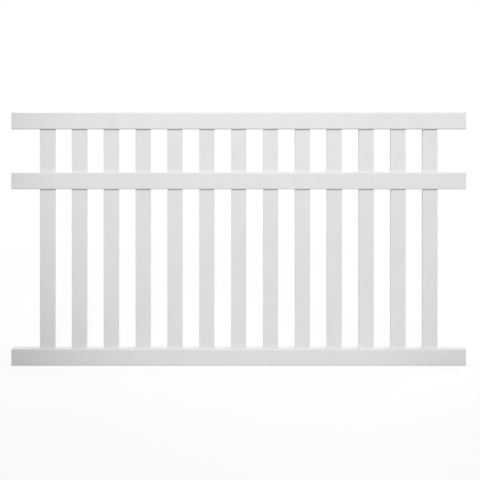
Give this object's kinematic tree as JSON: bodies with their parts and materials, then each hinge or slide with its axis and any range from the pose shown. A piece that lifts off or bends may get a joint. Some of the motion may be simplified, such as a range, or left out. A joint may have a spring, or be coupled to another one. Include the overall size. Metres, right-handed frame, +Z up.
{
  "type": "vinyl pool fence panel",
  "caption": "White vinyl pool fence panel: flat upright pickets pass through hollow routed rails, with bare rail ends that go into posts and a steel channel in the lowest rail.",
  "frame": {"origin": "middle of the bottom rail's flat underside", "axes": "+X along the rails, -Y out of the panel's front, +Z up along the pickets"},
  "size_m": [2.413, 0.0508, 1.3447],
  "materials": {
    "rail_vinyl": "satin white vinyl",
    "picket_vinyl": "satin white vinyl",
    "channel_steel": "galvanised"
  },
  "bodies": {
    "root": {"top_rail": "rail_vinyl", "middle_rail": "rail_vinyl", "bottom_rail": "rail_vinyl", "bottom_rail_channel": "channel_steel", "picket_01": "picket_vinyl", "picket_02": "picket_vinyl", "picket_03": "picket_vinyl", "picket_04": "picket_vinyl", "picket_05": "picket_vinyl", "picket_06": "picket_vinyl", "picket_07": "picket_vinyl", "picket_08": "picket_vinyl", "picket_09": "picket_vinyl", "picket_10": "picket_vinyl", "picket_11": "picket_vinyl", "picket_12": "picket_vinyl", "picket_13": "picket_vinyl"}
  },
  "joints": []
}
